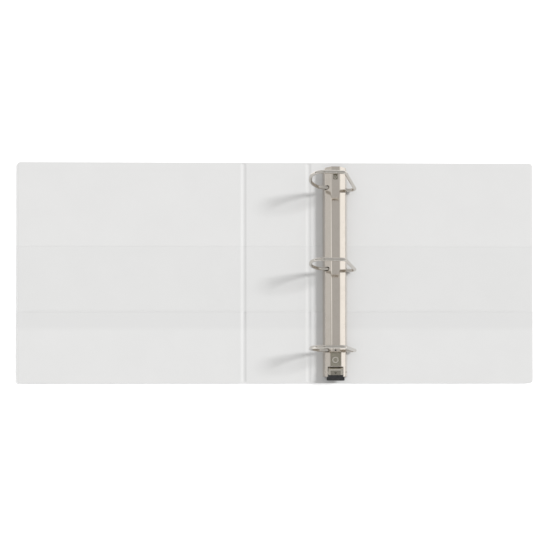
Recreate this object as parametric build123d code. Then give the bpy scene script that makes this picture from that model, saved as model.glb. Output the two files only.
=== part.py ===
from build123d import *
import os
from math import cos, radians, sin, tan

# A three-ring binder lying open and flat on its outer faces, millimetres.
# X runs across the open binder from the front cover to the back cover, Y runs up the
# sheets, Z is up. The origin is at the middle of the footprint, on the table.

# ---- Covers -------------------------------------------------------------------------
COVER_HEIGHT = 298.0
COVER_WIDTH = 299.3
SPINE_WIDTH = 78.5
HINGE_GAP = 9.1
CORNER_RADIUS = 4.0
WELD_MARGIN = 2.5
HINGE_MARGIN = 1.0

OVERLAY = 0.2
VINYL = 0.3
BOARD = 2.3
TALL_POCKET_HEIGHT = 186.0
SHORT_POCKET_HEIGHT = 97.0

# ---- Living hinges ------------------------------------------------------------------
# A cover folds about a line close to the spine board, at the middle of the thickness.
FOLD_FROM_SPINE_BOARD = 1.4
WEB_LOW_Z = 0.4
WEB_THICKNESS = 0.9
WEB_REACH_PAST_FOLD = 0.4

# ---- Ring mechanism -----------------------------------------------------------------
MECHANISM_X = 79.35
RING_SPACING = 107.95
MIDDLE_RING_Y = 2.5
WIRE_RADIUS = 2.1

HOUSING_TOP_Y = 137.1
HOUSING_BOTTOM_Y = -140.5
HOUSING_BASE_HALF = 16.5
HOUSING_SHOULDER_HALF = 13.8
HOUSING_RIDGE_HALF = 5.4
HOUSING_BASE_Z = 3.8
HOUSING_SHOULDER_Z = 16.5
HOUSING_RIDGE_Z = 22.0
HOUSING_SHEET = 1.0
OUTER_BEND = 2.4
INNER_BEND = 1.4
LIP_WIDTH = 3.6
LIP_SHEET = 0.8
INDEX_HOLE_RADIUS = 1.1
INDEX_HOLE_FROM_SEAT = 2.6
WIRE_SLOT_GAP = 0.65
LEFT_SLOT_X = 12.4
LEFT_SLOT_LENGTH = 8.6
RIGHT_SLOT_Z = (5.9, 11.6)

PLATE_PIVOT_HALF = 14.2
PLATE_PIVOT_Z = 6.0
PLATE_SHEET = 1.0
PLATE_MIDDLE_GAP = 0.15
PLATE_TILT = 3.75
PLATE_BOTTOM_Y = -126.5
PLATE_TOP_Y = 133.0
WINDOW_GAP = 0.8

# ---- Rings --------------------------------------------------------------------------
# Distances across are taken from the housing's middle. The tips meet high on the left.
LEFT_FOOT_X = 9.0
RIGHT_FOOT_X = 7.9
STAKE_RADIUS = 3.1
STAKE_HEIGHT = 0.7
JOINT_X = -16.5
JOINT_Z = 73.9
JOINT_GAP = 0.12
TIP_CHAMFER = 0.35
TOP_SLOPE = 0.054
LEFT_STUB = 11.0
LEFT_TOP_X = -24.0
RIGHT_RUN_X = 28.0
RIGHT_RUN_Z = 8.6
RIGHT_TOP_X = 9.4

# ---- Travel bar, locking blocks and link --------------------------------------------

BAR_HALF = 5.0
BAR_Z = 12.4
BAR_SHEET = 1.2
BAR_TOP_Y = 130.5
BAR_PAST_LINK = 2.4
BAR_TRAVEL = 4.51
BLOCK_HALF = 3.5
BLOCK_LENGTH = 10.0
BLOCK_BITE = 3.0
BLOCK_BOTTOM_Z = 5.95
BLOCK_RAMP = 1.1
BLOCK_FROM_RING = 16.0
LINK_HALF = 1.0
LINK_TAB = 1.2
LINK_TAB_HALF_LENGTH = 2.3
LINK_TAB_HALF_WIDTH = 2.6
LINK_FOOT = 2.4
LINK_RIVET_Y = -128.0
LINK_RIVET_RADIUS = 1.2
LINK_RIVET_HEAD_RADIUS = 2.0
LINK_RIVET_UPPER_HEAD = 0.6
LINK_RIVET_LOWER_HEAD = 0.5

# ---- Mounting rivets ----------------------------------------------------------------
# A seat is (low Y, high Y, half width) of the tray pressed into the ridge.
LOWER_RIVET_Y = -118.3
UPPER_RIVET_Y = 124.6
POST_RADIUS = 2.5
RIVET_RADIUS = 1.45
RIVET_HEAD_RADIUS = 5.0
RIVET_HEAD_HEIGHT = 0.9
LOWER_CROWN_RADIUS = 4.7
UPPER_CROWN_RADIUS = 2.5
CROWN_HEIGHT = 1.2
CROWN_ROUND = 0.6
CROWN_DIMPLE = 0.8
SEAT_FLOOR_Z = 16.5
LOWER_SEAT = (-126.6, -108.4, 6.7)
UPPER_SEAT = (120.0, 129.2, 2.8)

# ---- Lever --------------------------------------------------------------------------
LEVER_PIVOT_Y = -134.6
LEVER_PIVOT_Z = 14.6
LEVER_SWING = 35.0
LEVER_ARM = 7.5
LEVER_HALF = 9.7
LEVER_SHEET = 1.2
LEVER_FRONT_Y = -128.4
LEVER_END_Y = -144.6
LEVER_TOP_Z = 20.9
LEVER_BACK_SLOPE = 1.8
LEVER_FACE = (-138.4, -132.8, 6.6)
LEVER_FACE_Z = 19.4
LEVER_HOLE_Y = -135.7
LEVER_HOLE_RADIUS = 1.4
LEVER_WELL_HALF = 10.4
LEVER_WELL_Y = -127.4
LEVER_WELL_Z = 8.0
DRIVE_ARM_X = (1.5, 3.2)
PIN_RADIUS = 1.5
PIN_HALF_LENGTH = 14.9
DRIVE_PIN_RADIUS = 1.3
DRIVE_PIN_HALF_LENGTH = 3.6
RUNNING_GAP = 0.05
GRIP_Y = (-145.9, -141.0)
GRIP_Z = (13.4, 21.6)
GRIP_HALF = 11.8
GRIP_TONGUE_Y = -138.6
GRIP_TONGUE_HALF = 9.9
GRIP_ROUND = 1.4
GRIP_GROOVE = 0.8
GRIP_GROOVE_PITCH = 1.9

# ---- Worked out ---------------------------------------------------------------------
Z_SKIN = OVERLAY
Z_BOARD = Z_SKIN + VINYL
Z_LINER = Z_BOARD + BOARD
Z_INSIDE = Z_LINER + VINYL
Z_SHORT_POCKET = Z_INSIDE + VINYL
Z_STACK = Z_SHORT_POCKET + VINYL

HALF_HEIGHT = COVER_HEIGHT / 2
SPINE_HALF = SPINE_WIDTH / 2
COVER_INNER_X = SPINE_HALF + HINGE_GAP
COVER_OUTER_X = COVER_INNER_X + COVER_WIDTH
FOLD_X = SPINE_HALF + FOLD_FROM_SPINE_BOARD
RING_YS = {
    "top": MIDDLE_RING_Y + RING_SPACING,
    "middle": MIDDLE_RING_Y,
    "bottom": MIDDLE_RING_Y - RING_SPACING,
}
RIVET_YS = (LOWER_RIVET_Y, UPPER_RIVET_Y)
PLATE_RISE = tan(radians(PLATE_TILT))
DRIVE_Y = LEVER_PIVOT_Y - LEVER_ARM * sin(radians(LEVER_SWING / 2))
DRIVE_Z = LEVER_PIVOT_Z - LEVER_ARM * cos(radians(LEVER_SWING / 2))
ABOVE_HOUSING = HOUSING_RIDGE_Z + 1


def save(name, shape):
    """Write one node in the binder's own frame."""
    shape.label = name
    export_step(shape, f"parts/{name}.step")


def slab(x, y, z):
    """A rectangular block from three (low, high) pairs."""
    size = [high - low for low, high in (x, y, z)]
    middle = [(high + low) / 2 for low, high in (x, y, z)]
    return Pos(*middle) * Box(*size)


def upright(x, y, z, radius):
    """A round bar standing along Z."""
    return Pos(x, y, (z[0] + z[1]) / 2) * Cylinder(radius, z[1] - z[0])


def crossways(x, y, z, radius):
    """A round bar lying along X."""
    return Pos((x[0] + x[1]) / 2, y, z) * Rot(0, 90, 0) * Cylinder(radius, x[1] - x[0])


def on_middle(y, z, radius):
    """A round bar standing on the mechanism's middle line."""
    return upright(MECHANISM_X, y, z, radius)


def post_hole(y, z):
    """The clearance hole for a mounting rivet."""
    return on_middle(y, z, RIVET_RADIUS + RUNNING_GAP)


def straddling(half, y, z):
    """A block centred across the mechanism's middle line."""
    return slab((MECHANISM_X - half, MECHANISM_X + half), y, z)


# ---- Covers and spine ---------------------------------------------------------------
def rounded_slab(x, y, z, radius, free_side):
    """A sheet whose corners are rounded on its free side only."""
    sheet = slab(x, y, z)
    if free_side:
        corners = sheet.edges().filter_by(Axis.Z).group_by(Axis.X)
        sheet = fillet(corners[0 if free_side < 0 else -1], radius)
    return sheet


def board_span(x, free_side):
    """The board stops short of the weld on a free edge, and just short of a fold."""
    low = WELD_MARGIN if free_side < 0 else HINGE_MARGIN
    high = WELD_MARGIN if free_side > 0 else HINGE_MARGIN
    return (x[0] + low, x[1] - high)


def panel(name, x, free_side):
    """Every layer of one stiff panel, from the clear overlay up to the pockets."""
    y = (-HALF_HEIGHT, HALF_HEIGHT)
    inner_y = (y[0] + WELD_MARGIN, y[1] - WELD_MARGIN)
    inner_x = board_span(x, free_side)
    inner_radius = CORNER_RADIUS - WELD_MARGIN / 2

    def layer(low, high, y_range=y):
        return rounded_slab(x, y_range, (low, high), CORNER_RADIUS, free_side)

    core = (Z_BOARD, Z_LINER)
    board = rounded_slab(inner_x, inner_y, core, inner_radius, free_side)
    skin = layer(Z_SKIN, Z_LINER) - board
    tall = (y[0], y[0] + TALL_POCKET_HEIGHT)
    short = (y[0], y[0] + SHORT_POCKET_HEIGHT)
    return {
        f"{name}_overlay": layer(0, OVERLAY),
        f"{name}_outer_skin": skin,
        f"{name}_board": board,
        f"{name}_inner_liner": layer(Z_LINER, Z_INSIDE),
        f"{name}_tall_pocket": pocket(x, tall, Z_INSIDE, free_side),
        f"{name}_short_pocket": pocket(x, short, Z_SHORT_POCKET, free_side),
    }


def pocket(x, y, z, free_side):
    """A vinyl strip welded along the bottom, rounded only at its lower free corner."""
    strip = slab(x, y, (z, z + VINYL))
    if not free_side:
        return strip
    side = strip.edges().filter_by(Axis.Z).group_by(Axis.X)[0 if free_side < 0 else -1]
    return fillet(side.sort_by(Axis.Y)[0], CORNER_RADIUS)


def hinge_web(side):
    """The welded vinyl strip that joins a cover to the spine."""
    start = FOLD_X - WEB_REACH_PAST_FOLD
    x = sorted((side * start, side * COVER_INNER_X))
    return slab(x, (-HALF_HEIGHT, HALF_HEIGHT), (WEB_LOW_Z, WEB_LOW_Z + WEB_THICKNESS))


def rivet_holes(layers):
    """Drill the back cover's layers for the two rivets that hold the mechanism."""
    for y in RIVET_YS:
        shank = post_hole(y, (Z_BOARD, Z_STACK + 1))
        head = on_middle(y, (Z_BOARD, Z_BOARD + RIVET_HEAD_HEIGHT), RIVET_HEAD_RADIUS)
        layers["back_board"] -= head
        for name in ("back_board", "back_inner_liner"):
            layers[name] -= shank
        if y < 0:
            layers["back_tall_pocket"] -= shank
            layers["back_short_pocket"] -= shank
    return layers


# ---- Housing ------------------------------------------------------------------------
def along_y(face, low, high):
    """Extrude a face drawn in the XZ plane from low to high along Y."""
    return Pos(MECHANISM_X, high, 0) * extrude(Plane.XZ * face, high - low)


def arch_face(inset, bend):
    """The housing's section: flat ridge, two slopes and two nearly upright walls."""
    base = (HOUSING_BASE_HALF - inset, HOUSING_BASE_Z)
    lean = (HOUSING_BASE_HALF - HOUSING_SHOULDER_HALF) / (HOUSING_SHOULDER_Z - HOUSING_BASE_Z)
    shoulder_z = HOUSING_SHOULDER_Z - 0.75 * inset
    shoulder = (base[0] - lean * (shoulder_z - HOUSING_BASE_Z), shoulder_z)
    ridge = (HOUSING_RIDGE_HALF - 0.3 * inset, HOUSING_RIDGE_Z - inset)
    right = [base, shoulder, ridge]
    left = [(-x, z) for x, z in reversed(right)]
    face = make_face(Polyline(*right, *left, close=True))
    bends = [v for v in face.vertices() if v.Y > HOUSING_BASE_Z + 1]
    return fillet(bends, bend)


def seat(span, cut):
    """The tray pressed into the ridge for a rivet head, or the space inside it."""
    low, high, half = span
    wall = 0 if cut else HOUSING_SHEET
    bottom = SEAT_FLOOR_Z - wall
    top = ABOVE_HOUSING if cut else HOUSING_RIDGE_Z - HOUSING_SHEET / 2
    return straddling(half + wall, (low - wall, high + wall), (bottom, top))


def wire_slots():
    """Openings for the wires: through the left slope, and low in the right wall."""
    half = WIRE_RADIUS + WIRE_SLOT_GAP
    base_z = (HOUSING_BASE_Z + HOUSING_SHOULDER_Z) / 2
    slots = []
    for y in RING_YS.values():
        outline = SlotOverall(LEFT_SLOT_LENGTH, 2 * half)
        left = extrude(Plane.XY.offset(base_z) * outline, ABOVE_HOUSING - base_z)
        slots.append(Pos(MECHANISM_X - LEFT_SLOT_X, y, 0) * left)
        wall_x = (MECHANISM_X + HOUSING_SHOULDER_HALF - 2, MECHANISM_X + HOUSING_BASE_HALF + 1)
        slots.append(slab(wall_x, (y - half, y + half), RIGHT_SLOT_Z))
    return slots


def lips():
    """The two edges folded in under the plates' outer edges."""
    made = []
    for side in (-1, 1):
        edge = MECHANISM_X + side * (HOUSING_BASE_HALF - 0.4)
        x = sorted((edge, edge - side * LIP_WIDTH))
        y = (HOUSING_BOTTOM_Y, HOUSING_TOP_Y)
        made.append(slab(x, y, (HOUSING_BASE_Z, HOUSING_BASE_Z + LIP_SHEET)))
    return made


def housing():
    """The arched steel cover, with lips, rivet seats, wire slots and a lever well."""
    low, high = HOUSING_BOTTOM_Y, HOUSING_TOP_Y
    outside = along_y(arch_face(0, OUTER_BEND), low, high)
    inside = along_y(arch_face(HOUSING_SHEET, INNER_BEND), low - 1, high + 1)
    shell = outside - inside
    for lip in lips():
        shell += lip
    for span in (LOWER_SEAT, UPPER_SEAT):
        shell += seat(span, cut=False)
    for span in (LOWER_SEAT, UPPER_SEAT):
        shell -= seat(span, cut=True)
    shell -= straddling(LEVER_WELL_HALF, (low - 1, LEVER_WELL_Y), (LEVER_WELL_Z, ABOVE_HOUSING))
    for slot in wire_slots():
        shell -= slot
    for y in RIVET_YS:
        shell -= post_hole(y, (SEAT_FLOOR_Z - 2, SEAT_FLOOR_Z + 1))
    index_y = LOWER_SEAT[1] + INDEX_HOLE_FROM_SEAT
    shell -= on_middle(index_y, (HOUSING_RIDGE_Z - 2, ABOVE_HOUSING), INDEX_HOLE_RADIUS)
    return shell - pivot_bore(PIN_RADIUS + 0.02)


def pivot_bore(radius):
    """A bore right across the mechanism on the lever's axis."""
    x = (MECHANISM_X - 20, MECHANISM_X + 20)
    return crossways(x, LEVER_PIVOT_Y, LEVER_PIVOT_Z, radius)


def posts():
    """Two tubular spacers between the cover and the seats."""
    tubes = []
    for y in RIVET_YS:
        foot = Z_STACK if y < 0 else Z_INSIDE
        span = (foot, SEAT_FLOOR_Z - HOUSING_SHEET)
        tubes.append(on_middle(y, span, POST_RADIUS) - post_hole(y, span))
    return Compound(tubes)


def rivets():
    """Two rivets, headed in the board and rolled over in the seats."""
    top = SEAT_FLOOR_Z + CROWN_HEIGHT
    made = []
    for y, crown_radius in zip(RIVET_YS, (LOWER_CROWN_RADIUS, UPPER_CROWN_RADIUS)):
        rivet = on_middle(y, (Z_BOARD, top), RIVET_RADIUS)
        rivet += on_middle(y, (Z_BOARD, Z_BOARD + RIVET_HEAD_HEIGHT), RIVET_HEAD_RADIUS)
        crown = on_middle(y, (SEAT_FLOOR_Z, top), crown_radius)
        rivet += fillet(crown.edges().group_by(Axis.Z)[-1], CROWN_ROUND)
        made.append(rivet - on_middle(y, (top - CROWN_DIMPLE, top + 1), 0.6 * crown_radius))
    return Compound(made)


# ---- Hinge plates and rings ---------------------------------------------------------
def plate_z(distance):
    """Height of a closed plate's middle surface at a distance from the housing's middle."""
    return PLATE_PIVOT_Z - (PLATE_PIVOT_HALF - distance) * PLATE_RISE


def block_low_y(ring, y):
    """Lower end of the locking block that stands next to a ring."""
    step = -BLOCK_FROM_RING if ring == "top" else BLOCK_FROM_RING
    return y + step - BLOCK_LENGTH / 2


def hinge_plate(side):
    """One long leaf: it rocks on its outer edge and carries three ring halves."""
    inner = PLATE_MIDDLE_GAP
    half = PLATE_SHEET / 2
    section = make_face(
        Polyline(
            (side * inner, plate_z(inner) - half),
            (side * PLATE_PIVOT_HALF, PLATE_PIVOT_Z - half),
            (side * PLATE_PIVOT_HALF, PLATE_PIVOT_Z + half),
            (side * inner, plate_z(inner) + half),
            close=True,
        )
    )
    leaf = along_y(section, PLATE_BOTTOM_Y, PLATE_TOP_Y)
    through = (0, PLATE_PIVOT_Z + 4)
    for y in RIVET_YS:
        leaf -= on_middle(y, through, POST_RADIUS + 0.9)
    foot = LEFT_FOOT_X if side < 0 else RIGHT_FOOT_X
    for ring, y in RING_YS.items():
        low = block_low_y(ring, y) + BLOCK_BITE
        high = low + BLOCK_LENGTH - BLOCK_BITE + BAR_TRAVEL + WINDOW_GAP
        edge = MECHANISM_X + side * (BLOCK_HALF + WINDOW_GAP)
        leaf -= slab(sorted((MECHANISM_X - side, edge)), (low, high), through)
        leaf -= on_plate(side, foot, y) * Cylinder(WIRE_RADIUS + RUNNING_GAP, 6)
    return leaf


def on_plate(side, foot, y):
    """The place of a ring's foot on its plate, square to the plate."""
    return Pos(MECHANISM_X + side * foot, y, plate_z(foot)) * Rot(0, side * -PLATE_TILT, 0)


def wire(points, radii, y):
    """A round wire bent through points given as (x from the middle, z)."""
    route = [(MECHANISM_X + x, y, z) for x, z in points]
    path = FilletPolyline(*route, radius=radii)
    return sweep(Plane(path @ 0, z_dir=path % 0) * Circle(WIRE_RADIUS), path=path)


def stake(side, foot, y):
    """The wire's end, peened over under the plate."""
    drop = PLATE_SHEET / 2 + STAKE_HEIGHT / 2
    return on_plate(side, foot, y) * Pos(0, 0, -drop) * Cylinder(STAKE_RADIUS, STAKE_HEIGHT)


def tip_chamfer(half, axis_end):
    """Break the edge of the tip, so that the closed joint shows as a fine groove."""
    tip = half.edges().filter_by(GeomType.CIRCLE).sort_by_distance(axis_end)[0]
    return chamfer(tip, TIP_CHAMFER)


def left_ring(y):
    """The curved half: foot, out through the left slope, then up and over."""
    foot_z = plate_z(LEFT_FOOT_X)
    points = [
        (-LEFT_FOOT_X, foot_z - PLATE_SHEET / 2),
        (-LEFT_FOOT_X + LEFT_STUB * PLATE_RISE, foot_z + LEFT_STUB),
        (-22.6, 19.0),
        (-33.8, 37.1),
        (-32.8, 61.6),
        (LEFT_TOP_X, JOINT_Z + (JOINT_X - LEFT_TOP_X) * TOP_SLOPE),
        (JOINT_X, JOINT_Z),
    ]
    half = wire(points, [3.2, 12.0, 34.0, 24.0, 12.0], y)
    half = tip_chamfer(half, (MECHANISM_X + JOINT_X, y, JOINT_Z))
    return half + stake(-1, LEFT_FOOT_X, y)


def right_ring(y):
    """The straight, slanted half: foot, low run, post and flat top."""
    foot_z = plate_z(RIGHT_FOOT_X)
    start = JOINT_X + JOINT_GAP
    top_z = JOINT_Z - JOINT_GAP * TOP_SLOPE
    points = [
        (RIGHT_FOOT_X, foot_z - PLATE_SHEET / 2),
        (RIGHT_FOOT_X - (RIGHT_RUN_Z - foot_z) * PLATE_RISE, RIGHT_RUN_Z),
        (RIGHT_RUN_X, RIGHT_RUN_Z),
        (RIGHT_TOP_X, top_z - (RIGHT_TOP_X - start) * TOP_SLOPE),
        (start, top_z),
    ]
    half = wire(points, [2.6, 5.5, 5.0], y)
    half = tip_chamfer(half, (MECHANISM_X + start, y, top_z))
    return half + stake(1, RIGHT_FOOT_X, y)


# ---- Travel bar ---------------------------------------------------------------------
def travel_bar():
    """The flat bar that carries the locking blocks, slotted round both posts."""
    z = (BAR_Z, BAR_Z + BAR_SHEET)
    bar = straddling(BAR_HALF, (LINK_RIVET_Y - BAR_PAST_LINK, BAR_TOP_Y), z)
    length = 2 * POST_RADIUS + BAR_TRAVEL + 1.6
    width = 2 * POST_RADIUS + 0.7
    slot = extrude(Plane.XY.offset(BAR_Z - 1) * SlotOverall(length, width, rotation=90), 4)
    for y in RIVET_YS:
        bar -= Pos(MECHANISM_X, y - BAR_TRAVEL / 2, 0) * slot
    return bar - on_middle(LINK_RIVET_Y, (BAR_Z - 1, BAR_Z + 3), LINK_RIVET_RADIUS)


def locking_block(ring, y):
    """A wedge under the bar that holds both plates down while it stands on them."""
    low = block_low_y(ring, y)
    side = make_face(
        Polyline(
            (low, BLOCK_BOTTOM_Z + BLOCK_RAMP),
            (low + BLOCK_BITE, BLOCK_BOTTOM_Z),
            (low + BLOCK_LENGTH, BLOCK_BOTTOM_Z),
            (low + BLOCK_LENGTH, BAR_Z),
            (low, BAR_Z),
            close=True,
        )
    )
    return Pos(MECHANISM_X - BLOCK_HALF, 0, 0) * extrude(Plane.YZ * side, 2 * BLOCK_HALF)


def connector_link():
    """An upright strip with a tab under the bar and a slot round the lever's drive pin."""
    tab_z = BAR_Z - LINK_TAB
    tab_end = LINK_RIVET_Y + LINK_TAB_HALF_LENGTH
    side = make_face(
        Polyline(
            (tab_end, BAR_Z),
            (tab_end, tab_z),
            (LINK_RIVET_Y - 4.0, tab_z),
            (DRIVE_Y + 3.4, DRIVE_Z - LINK_FOOT),
            (DRIVE_Y - 2.6, DRIVE_Z - LINK_FOOT),
            (DRIVE_Y - 2.6, DRIVE_Z + LINK_FOOT),
            (DRIVE_Y + 2.0, BAR_Z),
            close=True,
        )
    )
    strip = Pos(MECHANISM_X - LINK_HALF, 0, 0) * extrude(Plane.YZ * side, 2 * LINK_HALF)
    tab_y = (LINK_RIVET_Y - LINK_TAB_HALF_LENGTH, tab_end)
    tab = straddling(LINK_TAB_HALF_WIDTH, tab_y, (tab_z, BAR_Z))
    reach = DRIVE_PIN_RADIUS + 0.08
    window_y = (DRIVE_Y - reach, DRIVE_Y + reach)
    window = straddling(3 * LINK_HALF, window_y, (DRIVE_Z - reach - 0.55, DRIVE_Z + reach + 0.15))
    return strip + tab - window - on_middle(LINK_RIVET_Y, (tab_z - 1, BAR_Z + 1), LINK_RIVET_RADIUS)


def link_rivet():
    """The rivet that joins the link's tab to the travel bar."""
    top = BAR_Z + BAR_SHEET
    under = BAR_Z - LINK_TAB
    upper = (top, top + LINK_RIVET_UPPER_HEAD)
    lower = (under - LINK_RIVET_LOWER_HEAD, under)
    rivet = on_middle(LINK_RIVET_Y, (lower[0], upper[1]), LINK_RIVET_RADIUS)
    for head in (upper, lower):
        rivet += on_middle(LINK_RIVET_Y, head, LINK_RIVET_HEAD_RADIUS)
    return rivet


# ---- Lever --------------------------------------------------------------------------
def lever_frame():
    """A steel channel: top plate with a sunk face, two flanges and two drive arms."""
    side = make_face(
        Polyline(
            (LEVER_FRONT_Y, 15.6),
            (LEVER_FRONT_Y, LEVER_TOP_Z - LEVER_BACK_SLOPE),
            (LEVER_FRONT_Y - LEVER_BACK_SLOPE, LEVER_TOP_Z),
            (LEVER_END_Y, LEVER_TOP_Z - 1.0),
            (LEVER_END_Y, 16.4),
            (-139.0, 13.0),
            (LEVER_PIVOT_Y, 12.0),
            close=True,
        )
    )
    block = Pos(MECHANISM_X - LEVER_HALF, 0, 0) * extrude(Plane.YZ * side, 2 * LEVER_HALF)
    inner_y = (LEVER_END_Y + LEVER_SHEET, LEVER_FRONT_Y - LEVER_SHEET)
    block -= straddling(LEVER_HALF - LEVER_SHEET, inner_y, (0, LEVER_FACE_Z - LEVER_SHEET))
    low, high, half = LEVER_FACE
    block -= straddling(half, (low, high), (LEVER_FACE_Z, ABOVE_HOUSING))
    block -= on_middle(LEVER_HOLE_Y, (LEVER_PIVOT_Z, ABOVE_HOUSING), LEVER_HOLE_RADIUS)
    for sign in (-1, 1):
        block += drive_arm(sorted(MECHANISM_X + sign * x for x in DRIVE_ARM_X))
    block -= pivot_bore(PIN_RADIUS + RUNNING_GAP)
    arms_x = (MECHANISM_X - DRIVE_ARM_X[1], MECHANISM_X + DRIVE_ARM_X[1])
    return block - crossways(arms_x, DRIVE_Y, DRIVE_Z, DRIVE_PIN_RADIUS)


def drive_arm(x):
    """An arm from the top plate, round the pivot, down to the drive pin."""
    side = make_face(
        Polyline(
            (LEVER_PIVOT_Y + 2.6, LEVER_FACE_Z - 0.8),
            (LEVER_PIVOT_Y - 3.6, LEVER_FACE_Z - 0.8),
            (DRIVE_Y - 2.2, DRIVE_Z + 0.4),
            (DRIVE_Y - 1.0, DRIVE_Z - 2.1),
            (DRIVE_Y + 1.4, DRIVE_Z - 2.1),
            (DRIVE_Y + 2.6, DRIVE_Z),
            (LEVER_PIVOT_Y + 2.6, LEVER_PIVOT_Z - 1.0),
            close=True,
        )
    )
    return Pos(x[0], 0, 0) * extrude(Plane.YZ * side, x[1] - x[0])


def lever_grip(frame):
    """The moulded pad on the lever's outer end, with a tongue over the top plate."""
    pad = straddling(GRIP_HALF, GRIP_Y, GRIP_Z)
    pad = fillet(pad.edges().filter_by(Axis.X), GRIP_ROUND)
    ends = pad.edges().group_by(Axis.X)
    pad = fillet(ends[0] + ends[-1], GRIP_ROUND / 2)
    tongue_z = (LEVER_FACE_Z + 0.4, GRIP_Z[1] - 0.3)
    pad += straddling(GRIP_TONGUE_HALF, (GRIP_Y[1] - 1, GRIP_TONGUE_Y), tongue_z)
    outer_y = (GRIP_Y[0] - 1, GRIP_Y[0] + 0.4)
    for row in range(3):
        z = GRIP_Z[0] + 2.2 + GRIP_GROOVE_PITCH * row
        pad -= straddling(GRIP_HALF - 2, outer_y, (z, z + GRIP_GROOVE))
    return pad - frame


def build():
    """Make every node and write it."""
    nodes = {}
    nodes.update(panel("front", (-COVER_OUTER_X, -COVER_INNER_X), -1))
    nodes.update(panel("spine", (-SPINE_HALF, SPINE_HALF), 0))
    nodes.update(rivet_holes(panel("back", (COVER_INNER_X, COVER_OUTER_X), 1)))
    nodes["front_hinge_web"] = hinge_web(-1)
    nodes["back_hinge_web"] = hinge_web(1)

    nodes["ring_housing"] = housing()
    nodes["mounting_posts"] = posts()
    nodes["mounting_rivets"] = rivets()

    nodes["left_hinge_plate"] = hinge_plate(-1)
    nodes["right_hinge_plate"] = hinge_plate(1)
    for ring, y in RING_YS.items():
        nodes[f"left_ring_{ring}"] = left_ring(y)
        nodes[f"right_ring_{ring}"] = right_ring(y)
        nodes[f"locking_block_{ring}"] = locking_block(ring, y)

    nodes["travel_bar"] = travel_bar()
    nodes["connector_link"] = connector_link()
    nodes["link_rivet"] = link_rivet()

    frame = lever_frame()
    nodes["lever_frame"] = frame
    nodes["lever_grip"] = lever_grip(frame)
    pin_x = (MECHANISM_X - PIN_HALF_LENGTH, MECHANISM_X + PIN_HALF_LENGTH)
    nodes["lever_pivot_pin"] = crossways(pin_x, LEVER_PIVOT_Y, LEVER_PIVOT_Z, PIN_RADIUS)
    drive_x = (MECHANISM_X - DRIVE_PIN_HALF_LENGTH, MECHANISM_X + DRIVE_PIN_HALF_LENGTH)
    nodes["lever_drive_pin"] = crossways(drive_x, DRIVE_Y, DRIVE_Z, DRIVE_PIN_RADIUS)

    for name, shape in nodes.items():
        save(name, shape)


os.makedirs("parts", exist_ok=True)
build()
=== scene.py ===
from math import pi, radians

import bpy
import numpy as np
from mathutils import Matrix, Vector


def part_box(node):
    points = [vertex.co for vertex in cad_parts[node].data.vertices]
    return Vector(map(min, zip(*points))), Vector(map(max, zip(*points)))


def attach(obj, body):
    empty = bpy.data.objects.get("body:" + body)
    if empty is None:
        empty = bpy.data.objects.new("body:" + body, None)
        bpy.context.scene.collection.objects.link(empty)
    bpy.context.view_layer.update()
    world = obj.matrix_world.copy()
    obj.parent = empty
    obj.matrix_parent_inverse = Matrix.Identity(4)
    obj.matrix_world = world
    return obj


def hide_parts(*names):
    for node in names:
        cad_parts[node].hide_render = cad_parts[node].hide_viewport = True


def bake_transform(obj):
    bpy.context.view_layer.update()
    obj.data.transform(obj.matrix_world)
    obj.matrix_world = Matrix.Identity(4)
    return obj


# Looks for a white three-ring binder that lies open on its outer faces.
# Metres, in the binder's own frame: X from the front cover to the back cover,
# Y up the sheets, Z up.

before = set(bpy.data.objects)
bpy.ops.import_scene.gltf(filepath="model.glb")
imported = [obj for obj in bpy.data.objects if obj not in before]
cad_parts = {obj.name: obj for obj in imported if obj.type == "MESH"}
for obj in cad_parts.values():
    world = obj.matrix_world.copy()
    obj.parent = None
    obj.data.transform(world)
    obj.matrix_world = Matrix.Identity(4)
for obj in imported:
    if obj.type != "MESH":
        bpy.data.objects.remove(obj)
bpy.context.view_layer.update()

MM = 0.001

# ---- Sizes that the looks add to the frame's own --------------------------------------
FILM = 0.3 * MM             # thickness of every vinyl sheet
CLEAR_FILM = 0.18 * MM      # thickness of the clear outer film
LAYER_GAP = 0.02 * MM       # air between two sheets
CORNER = 4.0 * MM           # radius of the covers' free corners
WELD_FLAT = 0.6 * MM        # width of the welded rim round a cover
WELD_END = 2.45 * MM        # where the skin has climbed onto the board
WELD_TOP = 3.06 * MM        # height of the welded rim
WELD_UNDER = 2.46 * MM      # underside of the welded rim
HINGE_DEPTH = 0.86 * MM     # how far the inside dips between two boards
HINGE_RAISE = 0.35 * MM     # how far the outside rises there
WAVE = 0.10 * MM            # slow unevenness of the flat vinyl
PINCH = 0.12 * MM           # height of the fine ridge along the middle of a hinge
PINCH_REACH = 0.5 * MM      # half its width
BAND = 27 * MM              # depth of the strip under the short pocket's mouth
BULGE = 0.5 * MM            # how far the short pocket stands off in that strip
MOUTH_BEAD = 0.22 * MM      # height of the rolled edge along a pocket's mouth
MOUTH_BEAD_Y = 0.9 * MM     # its distance below the mouth
MOUTH_BEAD_REACH = 0.75 * MM
QUIET_X = (57 * MM, 104 * MM)   # the strip under the ring mechanism, pressed flat
QUIET_FADE = 12 * MM        # how far outside that strip the vinyl is uneven again
EDGE_BLEND = 12 * MM        # width of the strip whose columns follow a rounded corner
PANEL_STEP = 5 * MM         # mesh step on the flat of a panel
FILM_STEP = 9 * MM          # mesh step across the clear film
LEAST_STEP = 0.12 * MM      # two mesh stations are never nearer than this

# ---- Studio: radiances and directions -------------------------------------------------
FLOOR_REACH = 12.0
FLOOR_DROP = 0.2 * MM       # the floor lies this far under the film, so that they don't mix
FLOOR_GLOW = 0.25           # what the overexposed floor adds to the light that it scatters
SKY_COLOUR = (1.0, 0.995, 0.985, 1.0)
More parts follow.
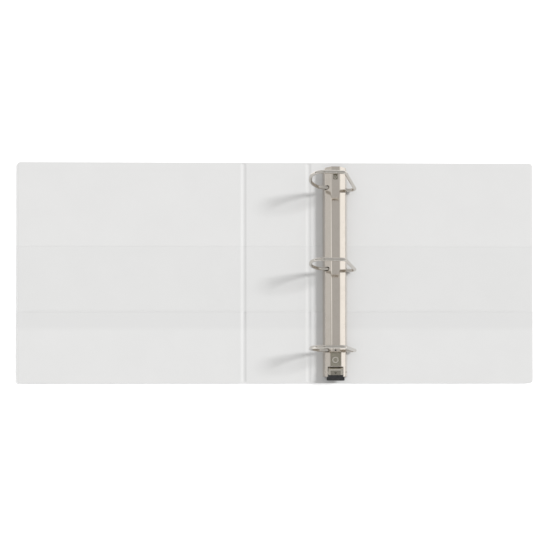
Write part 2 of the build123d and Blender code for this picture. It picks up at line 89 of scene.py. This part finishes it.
# Each ramp: height at its start and end, as the sine of the elevation, and strength there.
SKY_RISE = (0.03, 0.32, 0.26, 0.66)
SKY_FALL = (0.50, 0.85, 0.0, 0.14)
KEY_TOWARDS = (1.02, 0.30, 1.0)
KEY_ENERGY = 2.10
KEY_ANGLE = 14              # degrees across, which sets how soft the shadows are
PANEL_DISTANCE = 6.0
# Each panel: name, direction towards it, width, height and radiance.
PANELS = [
    ("right_panel", (0.93, 0.21, 0.34), 4.2, 2.2, 0.50),
    ("left_panel", (-0.50, 0.20, 0.86), 1.3, 6.0, 0.50),
]
CAMERA_PLACE = (0.03807, -0.16727, 0.81084)
CAMERA_TURN = (0.0032, -0.0119, -0.0012)
LENS = 39.15
SENSOR = 36.0
CAMERA_SHIFT = (-0.0665, 0.218)


def smooth(t):
    """0 below 0, 1 above 1, and a smooth step between."""
    t = np.clip(t, 0.0, 1.0)
    return t * t * (3 - 2 * t)


liner_low, liner_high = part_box("back_inner_liner")
spine_low, spine_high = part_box("spine_inner_liner")
OUTER_X = liner_high.x
COVER_X = liner_low.x
SPINE_X = spine_high.x
HALF_Y = liner_high.y
BOARD_TOP = liner_low.z
SKIN_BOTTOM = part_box("back_outer_skin")[0].z
TALL_TOP_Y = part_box("back_tall_pocket")[1].y
SHORT_TOP_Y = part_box("back_short_pocket")[1].y
HINGE_MIDDLE = (COVER_X + SPINE_X) / 2
HINGE_HALF = (COVER_X - SPINE_X) / 2
housing_low, housing_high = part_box("ring_housing")
MECHANISM_X = (housing_low.x + housing_high.x) / 2
HOUSING_TOP = housing_high.z
CROWN_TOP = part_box("mounting_rivets")[1].z


# ---- Mesh code ------------------------------------------------------------------------
def spread(low, high, step, dense=()):
    """Sorted stations from low to high: a regular step, plus finer steps round places.

    dense holds (centre, reach, fine step)."""
    stations = set(np.round(np.linspace(low, high, max(2, int(round((high - low) / step)) + 1)), 7))
    for centre, reach, fine in dense:
        a, b = max(low, centre - reach), min(high, centre + reach)
        if a < b:
            count = max(2, int(round((b - a) / fine)) + 1)
            stations |= set(np.round(np.linspace(a, b, count), 7))
    ordered = sorted(stations)
    kept = [ordered[0]]
    for value in ordered[1:-1]:
        if value - kept[-1] > LEAST_STEP and ordered[-1] - value > LEAST_STEP:
            kept.append(value)
    kept.append(ordered[-1])
    return np.array(kept)


def edge_distance(x, y):
    """How far a point of the open binder lies inside its rounded outline."""
    ax, ay = np.abs(x), np.abs(y)
    qx, qy = ax - (OUTER_X - CORNER), ay - (HALF_Y - CORNER)
    straight = np.minimum(OUTER_X - ax, HALF_Y - ay)
    rounded = CORNER - np.hypot(np.maximum(qx, 0), np.maximum(qy, 0))
    return np.where((qx > 0) & (qy > 0), rounded, straight)


def follow_corner(x, y):
    """Draw the outermost columns in where the outline's corners are rounded."""
    over = np.clip(np.abs(y) - (HALF_Y - CORNER), 0, CORNER)
    inset = CORNER - np.sqrt(np.maximum(CORNER ** 2 - over ** 2, 0))
    share = np.clip((np.abs(x) - (OUTER_X - EDGE_BLEND)) / EDGE_BLEND, 0, 1)
    return x - np.sign(x) * share * inset


def hinge_valley(x):
    """1 in the middle of a hinge, 0 on the boards."""
    t = np.clip((np.abs(x) - HINGE_MIDDLE) / HINGE_HALF, -1, 1)
    return 0.5 * (1 + np.cos(pi * t))


def quiet(x):
    """0 under the ring mechanism, 1 well away from it."""
    low = smooth((QUIET_X[0] - x) / QUIET_FADE)
    high = smooth((x - QUIET_X[1]) / QUIET_FADE)
    return np.maximum(low, high)


def waviness(x, y):
    """Slow dents and swells of a vinyl sheet heated onto a board, from 0 to 1."""
    a = np.sin(x / (31 * MM) + 0.7) * np.cos(y / (43 * MM) + 1.9)
    b = np.sin(x / (17 * MM) + y / (23 * MM) + 2.3)
    c = np.cos(x / (71 * MM) - y / (59 * MM) + 0.4)
    return 0.5 + (0.22 * a + 0.10 * b + 0.18 * c)


def climb(x, y):
    """0 on the welded rim, 1 on the board."""
    return smooth((edge_distance(x, y) - WELD_FLAT) / (WELD_END - WELD_FLAT))


def inside_top(x, y):
    """Height of the inner liner's upper face."""
    board = BOARD_TOP + FILM
    swell = WAVE * waviness(x, y) * quiet(x) * (1 - hinge_valley(x))
    pinch = PINCH * np.exp(-((np.abs(x) - HINGE_MIDDLE) / PINCH_REACH) ** 2)
    panel = board + swell - HINGE_DEPTH * hinge_valley(x) + pinch
    return WELD_TOP + (panel - WELD_TOP) * climb(x, y)


def outside_bottom(x, y):
    """Height of the outer skin's lower face."""
    panel = SKIN_BOTTOM + HINGE_RAISE * hinge_valley(x)
    return WELD_UNDER + (panel - WELD_UNDER) * climb(x, y)


def grid_sheet(name, xs, ys, top, thickness):
    """A closed thin sheet over a grid of stations, with its upper face at top(x, y)."""
    x, y = np.meshgrid(xs, ys)
    x = follow_corner(x, y)
    z = top(x, y)
    upper = np.stack([x, y, z], axis=-1).reshape(-1, 3)
    lower = upper - np.array([0.0, 0.0, thickness])
    rows, columns = len(ys), len(xs)
    index = np.arange(rows * columns).reshape(rows, columns)
    quads = np.stack([index[:-1, :-1], index[:-1, 1:], index[1:, 1:], index[1:, :-1]], axis=-1)
    quads = quads.reshape(-1, 4)
    under = quads[:, ::-1] + rows * columns
    rim = np.concatenate([index[0, :], index[1:, -1], index[-1, -2::-1], index[-2:0:-1, 0]])
    after = np.roll(rim, -1)
    walls = np.stack([after, rim, rim + rows * columns, after + rows * columns], axis=-1)
    faces = np.concatenate([quads, under, walls]).tolist()
    mesh = bpy.data.meshes.new(name)
    mesh.from_pydata(np.concatenate([upper, lower]).tolist(), [], faces)
    mesh.update()
    piece = bpy.data.objects.new(name, mesh)
    bpy.context.scene.collection.objects.link(piece)
    soften(piece)
    return piece


def soften(piece, angle=32):
    """Smooth shading, with every edge sharper than the angle kept crisp."""
    mesh = piece.data
    mesh.polygons.foreach_set("use_smooth", [True] * len(mesh.polygons))
    mesh.set_sharp_from_angle(angle=radians(angle))


def stations_x(side):
    """Columns of one half of the open binder, from the spine's middle to the free edge."""
    dense = [
        (HINGE_MIDDLE, HINGE_HALF + 0.8 * MM, 0.4 * MM),
        (OUTER_X, 3.2 * MM, 0.3 * MM),
        (OUTER_X - 7 * MM, 5 * MM, 1.2 * MM),
    ]
    columns = spread(0.0, OUTER_X, PANEL_STEP, dense)
    return columns if side > 0 else -columns[::-1]


def stations_y(high):
    """Rows from the bottom edge up to a sheet's top edge."""
    dense = [
        (-HALF_Y, 5.2 * MM, 0.35 * MM),
        (HALF_Y, 5.2 * MM, 0.35 * MM),
        (TALL_TOP_Y, 4 * MM, 0.4 * MM),
        (SHORT_TOP_Y, 4 * MM, 0.4 * MM),
    ]
    return spread(-HALF_Y, high, PANEL_STEP, dense)


# ---- Node helpers ---------------------------------------------------------------------
RAMP_SOCKETS = ("From Min", "From Max", "To Min", "To Max")


class Nodes:
    """A small writer for one material's node tree."""

    def __init__(self, name):
        self.material = bpy.data.materials.new(name)
        self.material.use_nodes = True
        self.tree = self.material.node_tree
        self.shader = self.tree.nodes["Principled BSDF"]
        self.place = self.add("ShaderNodeTexCoord").outputs["Object"]

    def add(self, kind, **settings):
        node = self.tree.nodes.new(kind)
        for key, value in settings.items():
            setattr(node, key, value)
        return node

    def link(self, source, target):
        self.tree.links.new(source, target)

    def scaled(self, x, y, z):
        """The object's own coordinates, stretched along each axis."""
        mapping = self.add("ShaderNodeMapping")
        mapping.inputs["Scale"].default_value = (x, y, z)
        self.link(self.place, mapping.inputs["Vector"])
        return mapping.outputs["Vector"]

    def noise(self, scale, detail=4.0, rough=0.55, vector=None):
        node = self.add("ShaderNodeTexNoise")
        node.inputs["Scale"].default_value = scale
        node.inputs["Detail"].default_value = detail
        node.inputs["Roughness"].default_value = rough
        self.link(vector or self.place, node.inputs["Vector"])
        return node.outputs["Fac"]

    def cells(self, scale, feature="F1"):
        node = self.add("ShaderNodeTexVoronoi", feature=feature)
        node.inputs["Scale"].default_value = scale
        self.link(self.place, node.inputs["Vector"])
        return node.outputs["Distance"]

    def span(self, value, low, high, to_low, to_high):
        """Map a value from one span to another, held at both ends."""
        node = self.add("ShaderNodeMapRange")
        self.link(value, node.inputs["Value"])
        for socket, number in zip(RAMP_SOCKETS, (low, high, to_low, to_high)):
            node.inputs[socket].default_value = number
        return node.outputs["Result"]

    def axes(self):
        """The object's own X, Y and Z."""
        node = self.add("ShaderNodeSeparateXYZ")
        self.link(self.place, node.inputs[0])
        return node.outputs

    def mix_colour(self, factor, first, second):
        node = self.add("ShaderNodeMix", data_type="RGBA")
        self.link(factor, node.inputs["Factor"])
        for socket, colour in ((6, first), (7, second)):
            if isinstance(colour, tuple):
                node.inputs[socket].default_value = (*colour, 1.0)
            else:
                self.link(colour, node.inputs[socket])
        return node.outputs[2]

    def add_up(self, first, second, weight):
        return self.compute("MULTIPLY_ADD", second, weight, first)

    def compute(self, operation, *values):
        """One sum on sockets and plain numbers."""
        node = self.add("ShaderNodeMath", operation=operation)
        for socket, value in zip(node.inputs, values):
            if isinstance(value, float):
                socket.default_value = value
            else:
                self.link(value, socket)
        return node.outputs[0]

    def bump(self, height, distance):
        node = self.add("ShaderNodeBump")
        node.inputs["Distance"].default_value = distance
        self.link(height, node.inputs["Height"])
        self.link(node.outputs["Normal"], self.shader.inputs["Normal"])

    def set(self, **values):
        for key, value in values.items():
            self.shader.inputs[key.replace("_", " ")].default_value = value


# ---- Materials ------------------------------------------------------------------------
def vinyl(name, light, dark, rough=(0.40, 0.52), band_shade=None):
    """White calendered vinyl: a fine pebbled grain, faint clouding, slightly waxy.

    The last argument is painted shade under the short pocket's mouth: a greyer colour where the sheet
    stands off."""
    n = Nodes(name)
    cloud = n.noise(16.0, detail=5.0, rough=0.6)
    colour = n.mix_colour(n.span(cloud, 0.30, 0.70, 0.0, 1.0), dark, light)
    if band_shade:
        # Painted shade: greyer towards the short pocket's mouth, where the sheet stands off.
        share = n.span(n.axes()["Y"], SHORT_TOP_Y - BAND, SHORT_TOP_Y - 0.75 * BAND, 0.0, 1.0)
        colour = n.mix_colour(share, colour, band_shade)
    n.link(colour, n.shader.inputs["Base Color"])
    n.link(n.span(n.noise(55.0, 3.0), 0.3, 0.7, *rough), n.shader.inputs["Roughness"])
    grain = n.add_up(n.cells(1500.0, "SMOOTH_F1"), n.noise(420.0, 3.0), 0.7)
    n.bump(grain, 0.035 * MM)
    n.set(IOR=1.53)
    return n.material


def clear_film():
    """Clear glossy vinyl over the outer faces, with faint contact marks."""
    n = Nodes("clear_film")
    n.link(n.span(n.noise(38.0, 4.0), 0.35, 0.65, 0.05, 0.16), n.shader.inputs["Roughness"])
    n.link(n.span(n.noise(11.0, 6.0, 0.7), 0.4, 0.62, 0.16, 0.30), n.shader.inputs["Alpha"])
    n.bump(n.noise(90.0, 3.0), 0.08 * MM)
    n.set(Base_Color=(0.93, 0.95, 0.97, 1.0), IOR=1.53)
    return n.material


def chipboard():
    """Grey-brown chipboard with fibres and flecks."""
    n = Nodes("chipboard_fibre")
    fibres = n.noise(260.0, 6.0, 0.7, n.scaled(1.0, 0.35, 3.0))
    n.link(
        n.mix_colour(n.span(fibres, 0.3, 0.7, 0.0, 1.0), (0.30, 0.25, 0.19), (0.52, 0.46, 0.38)),
        n.shader.inputs["Base Color"],
    )
    n.bump(fibres, 0.15 * MM)
    n.set(Roughness=0.9)
    return n.material


def plated(name, colour, dull, rough, rolled=True, recess=None):
    """Nickel plate on steel: smudges, dull spots and, on rolled sheet, long faint streaks.

    recess is (reach across, height, colour): nearer to the middle line than the reach and
    lower than the height, the plating is rougher and its colour is darkened as painted shade."""
    n = Nodes(name)
    streaks = n.noise(900.0, 4.0, 0.6, n.scaled(1.0, 0.02, 1.0) if rolled else None)
    smudge = n.noise(75.0, 5.0, 0.65)
    base = n.mix_colour(n.span(smudge, 0.45, 0.80, 0.0, 0.35), colour, dull)
    roughness = n.span(n.add_up(smudge, streaks, 0.35), 0.45, 0.95, *rough)
    if recess:
        reach, height, shade_colour = recess
        # Painted shade: the colour is darkened in the pressed recess, where shade falls.
        low = in_recess(n, reach, height)
        base = n.mix_colour(low, base, shade_colour)
        roughness = n.add_up(roughness, low, 0.25)
    n.link(base, n.shader.inputs["Base Color"])
    n.link(roughness, n.shader.inputs["Roughness"])
    n.bump(n.add_up(streaks, n.noise(140.0, 3.0), 0.8), 0.012 * MM)
    n.set(Metallic=1.0)
    return n.material


def in_recess(n, reach, height):
    """1 where a surface lies in a pressed seat near the mechanism's middle line: the mask of the painted
    shade.
    """
    axes = n.axes()
    distance = n.compute("ABSOLUTE", n.compute("SUBTRACT", axes["X"], MECHANISM_X))
    near = n.span(distance, reach, reach + 0.1 * MM, 1.0, 0.0)
    below = n.span(axes["Z"], height - 0.5 * MM, height, 1.0, 0.0)
    return n.compute("MULTIPLY", near, below)


def galvanised_and_shaded():
    """Dull zinc-plated steel of the parts inside the housing, darkened further as painted shade for the
    housing's inside.
    """
    n = Nodes("zinc_plate_and_painted_shade")
    spangle = n.cells(260.0)
    n.link(
        n.mix_colour(n.span(spangle, 0.1, 0.7, 0.0, 1.0), (0.26, 0.265, 0.27), (0.40, 0.40, 0.39)),
        n.shader.inputs["Base Color"],
    )
    n.link(n.span(n.noise(180.0, 4.0), 0.3, 0.7, 0.28, 0.45), n.shader.inputs["Roughness"])
    n.bump(n.noise(500.0, 4.0), 0.02 * MM)
    n.set(Metallic=1.0)
    return n.material


def moulded(name, light, dark, rough, grain):
    """Moulded plastic: spark-eroded grain with rubbed high spots."""
    n = Nodes(name)
    tone = n.noise(240.0, 5.0, 0.6)
    n.link(n.mix_colour(n.span(tone, 0.35, 0.7, 0.0, 1.0), dark, light), n.shader.inputs["Base Color"])
    n.link(n.span(n.noise(600.0, 3.0), 0.3, 0.7, *rough), n.shader.inputs["Roughness"])
    n.bump(n.noise(2600.0, 3.0), grain)
    n.set(IOR=1.5)
    return n.material


def floor_paint():
    """A plain pale studio floor."""
    n = Nodes("studio_floor")
    tone = n.noise(3.0, 3.0)
    n.link(
        n.mix_colour(n.span(tone, 0.3, 0.7, 0.0, 1.0), (0.955, 0.955, 0.955), (0.965, 0.965, 0.965)),
        n.shader.inputs["Base Color"],
    )
    n.set(Roughness=1.0, Specular_IOR_Level=0.0)
    n.shader.inputs["Emission Color"].default_value = (1.0, 1.0, 1.0, 1.0)
    n.shader.inputs["Emission Strength"].default_value = FLOOR_GLOW
    return n.material


# Painted shade in the housing's seat, the lever's recess and the rivet crowns' dimples: reach, height,
# colour.
SEAT_SHADE = (6.9 * MM, HOUSING_TOP - 0.7 * MM, (0.47, 0.445, 0.37))
LEVER_SHADE = (6.7 * MM, 19.8 * MM, (0.30, 0.285, 0.24))
CROWN_SHADE = (3.0 * MM, CROWN_TOP - 0.1 * MM, (0.47, 0.445, 0.37))

MATERIALS = {
    "liner": vinyl("white_vinyl_liner", (0.758, 0.758, 0.756), (0.740, 0.740, 0.738)),
    "skin": vinyl("white_vinyl_skin", (0.770, 0.770, 0.768), (0.752, 0.752, 0.750), (0.34, 0.46)),
    "pocket": vinyl("pocket_vinyl", (0.742, 0.743, 0.741), (0.726, 0.727, 0.725), (0.36, 0.50)),
    # The short pocket's vinyl carries a painted shade band under its mouth.
    "short_pocket": vinyl(
        "short_pocket_vinyl",
        (0.758, 0.759, 0.757),
        (0.740, 0.741, 0.739),
        (0.36, 0.50),
        band_shade=(0.722, 0.723, 0.722),
    ),
    "film": clear_film(),
    "board": chipboard(),
    # The housing, lever and rivet finishes carry painted shade in their recesses, from the reach, height
    # and colour tuples above.
    "housing": plated(
        "nickel_housing", (0.750, 0.694, 0.628), (0.64, 0.585, 0.52), (0.06, 0.13), recess=SEAT_SHADE
    ),
    "lever": plated(
        "nickel_lever", (0.69, 0.65, 0.575), (0.54, 0.50, 0.43), (0.16, 0.30), recess=LEVER_SHADE
    ),
    "wire": plated("nickel_wire", (0.665, 0.635, 0.590), (0.53, 0.50, 0.455), (0.07, 0.18), rolled=False),
    "rivet": plated(
        "nickel_rivet",
        (0.80, 0.76, 0.69),
        (0.66, 0.62, 0.55),
        (0.10, 0.22),
        rolled=False,
        recess=CROWN_SHADE,
    ),
    # The zinc finish is partly painted shade: darker than plain zinc, for the parts inside the housing.
    "zinc": galvanised_and_shaded(),
    "nylon": moulded("white_nylon", (0.83, 0.82, 0.78), (0.76, 0.75, 0.71), (0.38, 0.5), 0.02 * MM),
    "black": moulded(
        "black_plastic", (0.030, 0.030, 0.031), (0.012, 0.012, 0.013), (0.34, 0.5), 0.03 * MM
    ),
}

NODE_LOOKS = {
    "board": ["front_board", "spine_board", "back_board"],
    "housing": ["ring_housing"],
    "lever": ["lever_frame", "connector_link"],
    "rivet": ["mounting_rivets", "lever_pivot_pin", "lever_drive_pin", "link_rivet"],
    "zinc": ["mounting_posts", "left_hinge_plate", "right_hinge_plate", "travel_bar"],
    "nylon": ["locking_block_top", "locking_block_middle", "locking_block_bottom"],
    "black": ["lever_grip"],
    "wire": [
        f"{side}_ring_{place}" for side in ("left", "right") for place in ("top", "middle", "bottom")
    ],
}


def dress(piece, look):
    piece.data.materials.clear()
    piece.data.materials.append(MATERIALS[look])


def dress_frame():
    """Give every CAD part that stays visible its finish."""
    for look, nodes in NODE_LOOKS.items():
        for node in nodes:
            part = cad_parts[node]
            dress(part, look)
            soften(part, 30)


# ---- Covers ---------------------------------------------------------------------------
def bend_with(piece, side):
    """Bake a sheet's placement into its mesh, the same on either side."""
    if side > 0:
        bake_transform(piece)
    else:
        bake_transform(piece)


def finish_sheet(piece, side, look, slot, *nodes):
    dress(piece, look)
    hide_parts(*nodes)
    bend_with(piece, side)


def owned(side, kind):
    """The CAD sheets that one half of a visual sheet stands for."""
    if side > 0:
        return [f"back_{kind}"]
    return [f"front_{kind}", f"spine_{kind}"]


def mouth_bead(y, top_y):
    """Extra height of a pocket near its mouth: a rolled edge that stands proud."""
    return MOUTH_BEAD * np.exp(-((top_y - y - MOUTH_BEAD_Y) / MOUTH_BEAD_REACH) ** 2)


def skin_top(x, y):
    return outside_bottom(x, y) + FILM


def tall_top(x, y):
    return inside_top(x, y) + FILM + LAYER_GAP + mouth_bead(y, TALL_TOP_Y)


def short_top(x, y):
    """Height of the short pocket, which stands off a little under its mouth."""
    bulge = BULGE * smooth(1 - (SHORT_TOP_Y - y) / BAND) * quiet(x)
    inland = smooth((edge_distance(x, y) - 4 * MM) / (25 * MM)) * (1 - hinge_valley(x))
    lift = mouth_bead(y, SHORT_TOP_Y)
    return inside_top(x, y) + 2 * (FILM + LAYER_GAP) + lift + bulge * inland


def film_top(x, y):
    return outside_bottom(x, y) - LAYER_GAP


def build_covers():
    """The liner, the skin and both pocket strips, each as a front and a back half."""
    for side, half in ((-1, "front"), (1, "back")):
        xs = stations_x(side)

        liner = grid_sheet(f"inner_vinyl_{half}", xs, stations_y(HALF_Y), inside_top, FILM)
        stands_for = [f"{half}_hinge_web", *owned(side, "inner_liner")]
        finish_sheet(liner, side, "liner", "white_vinyl", *stands_for)

        skin = grid_sheet(f"outer_vinyl_{half}", xs, stations_y(HALF_Y), skin_top, FILM)
        finish_sheet(skin, side, "skin", "white_vinyl", *owned(side, "outer_skin"))

        tall = grid_sheet(f"tall_pocket_{half}", xs, stations_y(TALL_TOP_Y), tall_top, FILM)
        finish_sheet(tall, side, "pocket", "pocket_vinyl", *owned(side, "tall_pocket"))

        short = grid_sheet(f"short_pocket_{half}", xs, stations_y(SHORT_TOP_Y), short_top, FILM)
        finish_sheet(short, side, "short_pocket", "pocket_vinyl", *owned(side, "short_pocket"))


def build_films():
    """The clear film on the outside of each panel, which moves with its own panel."""
    spans = {
        "front": (-OUTER_X, -COVER_X, "front_cover"),
        "spine": (-SPINE_X, SPINE_X, "spine"),
        "back": (COVER_X, OUTER_X, "back_cover"),
    }
    for name, (low, high, body) in spans.items():
        dense = [(low, 3.2 * MM, 0.35 * MM), (high, 3.2 * MM, 0.35 * MM)]
        xs = spread(low, high, FILM_STEP, dense)
        film = grid_sheet(f"clear_film_{name}", xs, stations_y(HALF_Y), film_top, CLEAR_FILM)
        dress(film, "film")
        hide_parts(f"{name}_overlay")
        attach(film, body)


# ---- Studio ---------------------------------------------------------------------------
def build_floor():
    mesh = bpy.data.meshes.new("floor")
    corners = [(FLOOR_REACH * x, FLOOR_REACH * y, 0) for x, y in ((-1, -1), (1, -1), (1, 1), (-1, 1))]
    mesh.from_pydata(corners, [], [(0, 1, 2, 3)])
    floor = bpy.data.objects.new("floor", mesh)
    bpy.context.scene.collection.objects.link(floor)
    floor.data.materials.append(floor_paint())
    floor.location.z = -FLOOR_DROP


def aim(name, light, direction):
    """Put a light in the scene so that it shines from the given direction."""
    lamp = bpy.data.objects.new(name, light)
    towards = Vector(direction).normalized()
    lamp.location = towards * PANEL_DISTANCE
    lamp.rotation_euler = towards.to_track_quat("Z", "Y").to_euler()
    bpy.context.scene.collection.objects.link(lamp)
    return lamp


def build_sky():
    """Studio light that is fullest halfway up and falls off to a dark room at the horizon."""
    world = bpy.data.worlds.new("studio")
    world.use_nodes = True
    tree = world.node_tree
    background = tree.nodes["Background"]
    background.inputs["Color"].default_value = SKY_COLOUR
    place = tree.nodes.new("ShaderNodeTexCoord")
    split = tree.nodes.new("ShaderNodeSeparateXYZ")
    tree.links.new(place.outputs["Generated"], split.inputs[0])
    strength = tree.nodes.new("ShaderNodeMath")
    strength.operation = "SUBTRACT"
    for numbers, target in zip((SKY_RISE, SKY_FALL), strength.inputs):
        ramp = tree.nodes.new("ShaderNodeMapRange")
        ramp.interpolation_type = "SMOOTHSTEP"
        tree.links.new(split.outputs["Z"], ramp.inputs["Value"])
        for socket, number in zip(RAMP_SOCKETS, numbers):
            ramp.inputs[socket].default_value = number
        tree.links.new(ramp.outputs["Result"], target)
    tree.links.new(strength.outputs[0], background.inputs["Strength"])
    bpy.context.scene.world = world


def build_lights():
    """One soft key from the right, a low panel beyond it and a high one on the left."""
    key = bpy.data.lights.new("key", "SUN")
    key.energy = KEY_ENERGY
    key.angle = radians(KEY_ANGLE)
    aim("key", key, KEY_TOWARDS).visible_glossy = False
    for name, direction, width, height, radiance in PANELS:
        panel = bpy.data.lights.new(name, "AREA")
        panel.shape = "RECTANGLE"
        panel.size = width
        panel.size_y = height
        panel.energy = radiance * pi * width * height
        aim(name, panel, direction)


def build_camera():
    """Almost straight down, a little below the binder's middle."""
    data = bpy.data.cameras.new("camera")
    data.sensor_width = SENSOR
    data.lens = LENS
    data.shift_x, data.shift_y = CAMERA_SHIFT
    data.clip_start = 0.01
    camera = bpy.data.objects.new("camera", data)
    turn_x, turn_y, turn_z = (Matrix.Rotation(turn, 4, axis) for turn, axis in zip(CAMERA_TURN, "XYZ"))
    camera.matrix_world = Matrix.Translation(CAMERA_PLACE) @ turn_z @ turn_y @ turn_x
    bpy.context.scene.collection.objects.link(camera)
    bpy.context.scene.camera = camera


build_covers()
build_films()
dress_frame()
build_floor()
build_sky()
build_lights()
build_camera()
bpy.context.scene.view_settings.view_transform = "Standard"
